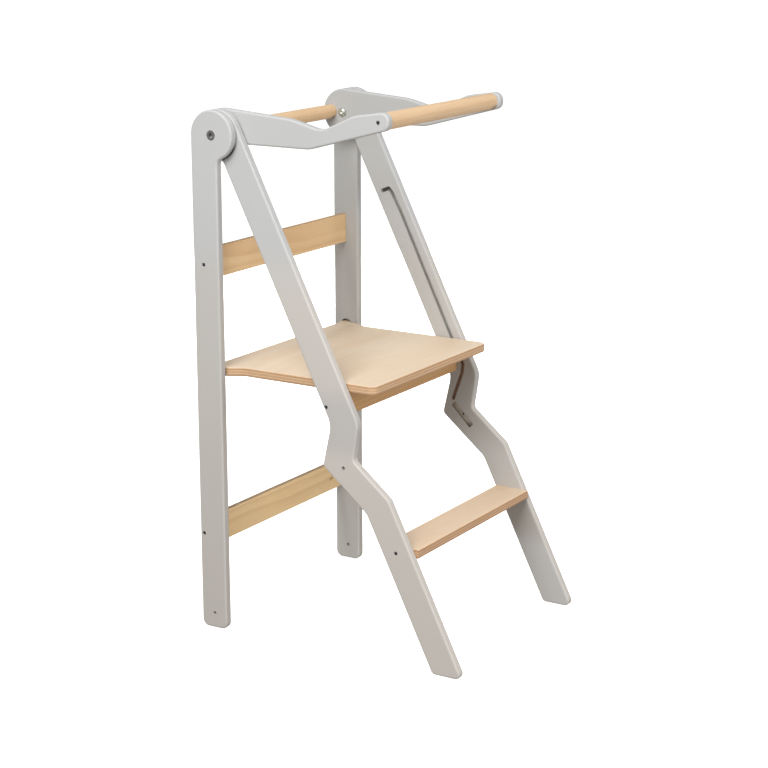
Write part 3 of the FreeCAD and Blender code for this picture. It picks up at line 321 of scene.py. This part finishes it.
# ------------------------------------------------------------------ solid wood, grain along X
def solid_material(name, centre, late, early, mid, ring=0.0032, strength=1.0, knots=(), bulge=0.010, edge_dark=None, end=None, shade=None, seed=0.0):
    """Growth rings about a pith line at centre (y, z), bent by noise and by knots."""
    t = Tree(name)
    x, y, z = t.xyz[0], t.xyz[1], t.xyz[2]
    warp = t.noise(t.scaled(3.2, 12.0, 12.0, seed, seed * 0.7, 0.3), 1.0, 3.0, 0.5, color=True)
    sw = t.t.nodes.new("ShaderNodeSeparateColor")
    t.link(warp, sw.inputs[0])
    yy = t.math("ADD", t.math("SUBTRACT", y, centre[0]), t.math("MULTIPLY", t.math("SUBTRACT", sw.outputs[0], 0.5), bulge))
    zz = t.math("ADD", t.math("SUBTRACT", z, centre[1]), t.math("MULTIPLY", t.math("SUBTRACT", sw.outputs[1], 0.5), bulge))
    knot_core = None
    for kx, ky, kz, kr in knots:
        dx = t.math("MULTIPLY", t.math("SUBTRACT", x, kx), 0.45)
        dz = t.math("SUBTRACT", z, kz)
        d2 = t.math("ADD", t.math("MULTIPLY", dx, dx), t.math("MULTIPLY", dz, dz))
        d = t.math("SQRT", d2)
        push = t.math("MULTIPLY", t.math("EXPONENT", t.math("MULTIPLY", d, -1.0 / (kr * 2.6))), kr * 2.2)
        sgn = t.math("SIGN", dz)
        zz = t.math("SUBTRACT", zz, t.math("MULTIPLY", push, sgn))
        core = t.remap(d, kr * 0.55, kr * 1.15, 1.0, 0.0, True)
        halo = t.math("MULTIPLY", t.remap(d, kr * 0.9, kr * 3.6, 1.0, 0.0, True), 0.30)
        both = t.math("MAXIMUM", core, halo)
        knot_core = both if knot_core is None else t.math("MAXIMUM", knot_core, both)
    r = t.math("SQRT", t.math("ADD", t.math("MULTIPLY", yy, yy), t.math("MULTIPLY", zz, zz)))
    saw = t.math("FRACT", t.math("DIVIDE", r, ring))
    lateness = t.math("MULTIPLY", t.remap(saw, 0.25, 0.90, 0.0, 1.0, True), t.remap(saw, 0.93, 1.0, 1.0, 0.0, True))
    vary = t.noise(t.combine(t.math("MULTIPLY", x, 3.0), t.math("MULTIPLY", r, 160.0), seed), 1.0, 2.0, 0.5)
    lateness = t.math("MULTIPLY", lateness, t.remap(vary, 0.3, 0.7, 0.35 * strength, 1.0 * strength))
    fibre = t.noise(t.combine(t.math("MULTIPLY", x, 42.0), t.math("MULTIPLY", y, 1300.0), t.math("MULTIPLY", z, 1300.0)), 1.0, 2.0, 0.55)
    cloud = t.noise(t.scaled(5.0, 22.0, 22.0, seed, 0.2, 0.6), 1.0, 3.0, 0.55)
    color = t.mix(t.remap(cloud, 0.3, 0.7, 0.0, 1.0), early, mid)
    color = t.mix(lateness, color, late)
    color = t.mix(t.remap(fibre, 0.40, 0.62, 0.20, 0.0), color, late)
    if knot_core is not None:
        color = t.mix(knot_core, color, lin(122, 78, 44))
    if edge_dark is not None:
        up = t.remap(t.normal[2], 0.45, 0.95, 0.0, 1.0, True)
        color = t.mix(t.math("MULTIPLY", up, 0.75), color, edge_dark)
    if shade is not None:
        # painted shadow: darker towards the top, where the platform shades the rail
        upper = t.remap(z, shade[0], shade[1], 0.0, 1.0, True)
        color = t.mix(t.math("MULTIPLY", upper, 0.60), color, lin(158, 112, 68))
    if end is not None:
        # painted shade: the underside darkens towards the far end, where the rail meets the arm
        tip = t.math("MULTIPLY", t.remap(x, end - 0.016, end - 0.003, 0.0, 1.0, True), t.remap(t.normal[2], -0.80, -0.25, 1.0, 0.0, True))
        color = t.mix(t.math("MULTIPLY", tip, 0.75), color, lin(112, 82, 60))
    n0 = t.soft_edges(0.0004)
    n1 = t.bump(lateness, 0.00006, 0.35, n0)
    n2 = t.bump(fibre, 0.00004, 0.45, n1)
    rough = t.remap(t.noise(t.scaled(20, 60, 60), 1.0, 3.0, 0.6), 0.3, 0.7, 0.38, 0.50)
    return t.finish(color, rough, n2, Specular_IOR_Level=0.42, Coat_Weight=0.10, Coat_Roughness=0.3)


# ------------------------------------------------------------------ metals
def metal_material(name, base, rough, streak):
    t = Tree(name)
    y, z = t.xyz[1], t.xyz[2]
    # turned faces: fine rings about the piece's own axis, which lies along X
    scratch = t.noise(t.scaled(60, 2600, 2600), 1.0, 2.0, 0.6)
    blot = t.noise(t.scaled(1, 1, 1), 240.0, 3.0, 0.6)
    col = t.mix(t.remap(blot, 0.3, 0.7, 0.0, 0.5), base, tuple(c * 0.72 for c in base))
    col = t.mix(t.remap(scratch, 0.45, 0.7, 0.0, streak), col, tuple(min(1.0, c * 1.35 + 0.02) for c in base))
    n = t.bump(scratch, 0.00002, 0.4, t.soft_edges(0.00025))
    r = t.remap(blot, 0.3, 0.7, rough, rough + 0.14)
    return t.finish(col, r, n, Metallic=1.0)


PAINT = paint_material()
PLATFORM = board_material("platform_plywood", 0.4487, 0.015)
STEP = board_material("step_plywood", 0.188, 0.015, tone=(0.945, 0.905, 0.87))
RAIL = solid_material("rail_wood", (SHIFT - 0.130, 0.360), lin(204, 158, 102), lin(236, 202, 150), lin(228, 190, 136), ring=0.0040, strength=0.6, shade=(0.372, 0.398), seed=2.3)
UPPER = solid_material("upper_slat_wood", (SHIFT + 0.110, 0.655), lin(203, 158, 109), lin(232, 201, 158), lin(224, 190, 144), ring=0.0060, strength=0.55,
                       seed=4.1, edge_dark=lin(176, 134, 90))
LOWER = solid_material("lower_slat_wood", (SHIFT + 0.120, 0.150), lin(216, 174, 120), lin(246, 215, 167), lin(240, 205, 153), ring=0.0056, strength=0.6,
                       seed=7.7, edge_dark=lin(122, 98, 74), knots=((0.1695, SHIFT + 0.028, 0.1657, 0.0014),))
GRIP = solid_material("grip_wood", (SHIFT - 0.270, 0.858), lin(206, 163, 118), lin(232, 202, 164), lin(225, 191, 151), ring=0.0052, strength=0.3, end=0.174, seed=1.4)
TOP_RAIL = solid_material("top_rail_wood", (SHIFT + 0.062, 0.815), lin(202, 159, 112), lin(230, 201, 162), lin(223, 190, 149), ring=0.0050, strength=0.3, end=0.174, seed=9.2)
BLACK = metal_material("black_steel", (0.16, 0.16, 0.165), 0.42, 0.3)
PIVOT = metal_material("dark_steel", (0.34, 0.34, 0.335), 0.30, 0.5)
ZINC = metal_material("zinc_steel", (0.68, 0.71, 0.66), 0.30, 0.35)

LOOK = {
    "back_leg_left": PAINT, "back_leg_right": PAINT, "front_leg_left": PAINT, "front_leg_right": PAINT,
    "guard_arm_left": PAINT, "guard_arm_right": PAINT, "platform_board": PLATFORM, "step_board": STEP,
    "platform_rail": RAIL, "upper_back_slat": UPPER, "lower_back_slat": LOWER, "front_grip_rail": GRIP, "rear_top_rail": TOP_RAIL,
    "pivot_barrel_left": PIVOT, "pivot_barrel_right": PIVOT, "pivot_bolt_left": ZINC, "pivot_bolt_right": ZINC,
    "outer_pivot_washers": ZINC, "inner_pivot_washers": ZINC, "platform_guide_pins": ZINC,
}
for name, ob in nodes.items():
    mat = LOOK.get(name, BLACK)
    ob.data.materials.clear()
    ob.data.materials.append(mat)

# the inside faces of the guide groove and of the empty slat socket
GROOVE = [(-74.0, 717.2), (-87.0, 722.2), (-94.6, 714.2), (-111.0, 686.0), (-242.4, 417.6), (-240.8, 401.6), (-223.4, 352.4)]
SOCKET = [(-223.8, 343.0), (-261.0, 305.4)]


def from_line(py, pz, line):
    best = 1e9
    for (ay, az), (by, bz) in zip(line[:-1], line[1:]):
        dy, dz = by - ay, bz - az
        k = max(0.0, min(1.0, ((py - ay) * dy + (pz - az) * dz) / (dy * dy + dz * dz)))
        best = min(best, math.hypot(py - ay - k * dy, pz - az - k * dz))
    return best


RECESS = recess_material()
for name in ("front_leg_left", "front_leg_right"):
    me = nodes[name].data
    me.materials.append(RECESS)
    for poly in me.polygons:
        c = poly.center
        depth = abs(c.x) * 1000.0 - 190.0
        py, pz = (c.y - SHIFT) * 1000.0, c.z * 1000.0
        if depth > 5.0 and math.hypot(py + 242.4, pz - 324.2) < 2.4:
            poly.material_index = 1
        if not 0.05 < depth < 8.2:
            continue
        if from_line(py, pz, GROOVE) < 3.9 or (depth < 5.2 and from_line(py, pz, SOCKET) < 6.3):
            poly.material_index = 1


# ------------------------------------------------------------------ floor, light, camera
def floor_material():
    t = Tree("pale_floor")
    cloud = t.noise(t.scaled(1.0, 1.0, 1.0), 0.8, 2.0, 0.5)
    col = t.mix(t.remap(cloud, 0.3, 0.7, 0.0, 1.0), (0.90, 0.90, 0.90), (0.92, 0.92, 0.918))
    t.finish(col, 0.85, None, Specular_IOR_Level=0.1)
    t.bsdf.inputs["Emission Color"].default_value = (1.0, 1.0, 1.0, 1.0)
    t.bsdf.inputs["Emission Strength"].default_value = 0.75
    # the sheet shows from above only
    side = t.t.nodes.new("ShaderNodeNewGeometry")
    clear = t.t.nodes.new("ShaderNodeBsdfTransparent")
    pick = t.t.nodes.new("ShaderNodeMixShader")
    t.link(side.outputs["Backfacing"], pick.inputs[0])
    t.link(t.bsdf.outputs[0], pick.inputs[1])
    t.link(clear.outputs[0], pick.inputs[2])
    t.link(pick.outputs[0], t.out.inputs[0])
    return t.mat


bpy.ops.mesh.primitive_grid_add(x_subdivisions=8, y_subdivisions=8, size=90.0, location=(0, 0, -0.0006))
floor = bpy.context.object
floor.name = "studio_floor"
floor.data.materials.append(floor_material())
# the floor is overlit on purpose, so it doesn't light the object; the studio's own light does
floor.visible_diffuse = False
floor.visible_glossy = False
floor.visible_shadow = False

# soft studio light all round: bright above and in front, dimmer below
world = bpy.data.worlds.new("studio")
scene.world = world
world.use_nodes = True
wt = world.node_tree
bg = wt.nodes["Background"]
co = wt.nodes.new("ShaderNodeTexCoord")
sp = wt.nodes.new("ShaderNodeSeparateXYZ")
rp = wt.nodes.new("ShaderNodeValToRGB")
mr = wt.nodes.new("ShaderNodeMapRange")
wt.links.new(co.outputs["Generated"], sp.inputs[0])
wt.links.new(sp.outputs[2], mr.inputs["Value"])
mr.inputs["From Min"].default_value = -1.0
mr.inputs["From Max"].default_value = 1.0
els = rp.color_ramp.elements
els[0].position, els[0].color = 0.0, (0.50, 0.48, 0.45, 1.0)
els[1].position, els[1].color = 1.0, (0.60, 0.60, 0.60, 1.0)
e = els.new(0.28)
e.color = (0.53, 0.51, 0.48, 1.0)
e = els.new(0.45)
e.color = (0.585, 0.57, 0.55, 1.0)
e = els.new(0.62)
e.color = (0.60, 0.60, 0.60, 1.0)
wt.links.new(mr.outputs[0], rp.inputs[0])
wt.links.new(rp.outputs[0], bg.inputs[0])
bg.inputs[1].default_value = 0.72
# seen directly, the studio is the same white as its floor
white = wt.nodes.new("ShaderNodeBackground")
white.inputs[0].default_value = (1.0, 1.0, 1.0, 1.0)
white.inputs[1].default_value = 1.0
path = wt.nodes.new("ShaderNodeLightPath")
both = wt.nodes.new("ShaderNodeMixShader")
wt.links.new(path.outputs["Is Camera Ray"], both.inputs[0])
wt.links.new(bg.outputs[0], both.inputs[1])
wt.links.new(white.outputs[0], both.inputs[2])
wt.links.new(both.outputs[0], wt.nodes["World Output"].inputs[0])


def area(name, at, aim, size, power, color=(1, 1, 1)):
    data = bpy.data.lights.new(name, "AREA")
    data.shape = "RECTANGLE"
    data.size, data.size_y = size
    data.energy = power
    data.color = color
    ob = bpy.data.objects.new(name, data)
    ob.location = at
    ob.rotation_euler = (Vector(aim) - Vector(at)).to_track_quat("-Z", "Y").to_euler()
    ob.visible_camera = False
    scene.collection.objects.link(ob)
    return ob


area("key", (-2.60, -0.30, 2.72), (0, 0, 0.48), (2.1, 2.1), 102.0)
front_fill = area("front_fill", (-0.2, -3.1, 0.95), (0, 0, 0.5), (2.4, 1.7), 42.0)
back_fill = area("back_fill", (2.9, 1.9, 1.05), (0, 0, 0.5), (2.2, 1.6), 58.0)
for ob in (front_fill, back_fill):
    ob.visible_glossy = False
area("top", (0.1, 0.1, 2.9), (0, 0, 0.4), (1.8, 1.8), 6.0)

# camera: solved from the photograph
AZ, EL, ROLL = math.radians(-58.271), math.radians(14.329), math.radians(-0.077)
back = Vector((math.sin(AZ) * math.cos(EL), -math.cos(AZ) * math.cos(EL), math.sin(EL)))
fwd = -back
right = fwd.cross(Vector((0, 0, 1))).normalized()
up = right.cross(fwd)
cr, sr = math.cos(ROLL), math.sin(ROLL)
R = right * cr + up * sr
U = up * cr - right * sr
cam_data = bpy.data.cameras.new("camera")
cam = bpy.data.objects.new("camera", cam_data)
scene.collection.objects.link(cam)
cam_data.sensor_width = 36.0
cam_data.lens = 1961.795 / 768.0 * 36.0
cam_data.clip_start, cam_data.clip_end = 0.05, 200.0
cam_data.shift_x, cam_data.shift_y = -0.5 / 768.0, 0.5 / 768.0
m = Matrix(((R.x, U.x, back.x), (R.y, U.y, back.y), (R.z, U.z, back.z))).to_4x4()
m.translation = Vector((-2.78579, -1.91765 + SHIFT, 1.25176))
cam.matrix_world = m
scene.camera = cam

scene.view_settings.view_transform = "Standard"
scene.view_settings.look = "None"
scene.view_settings.exposure = 0.0
scene.view_settings.gamma = 1.0
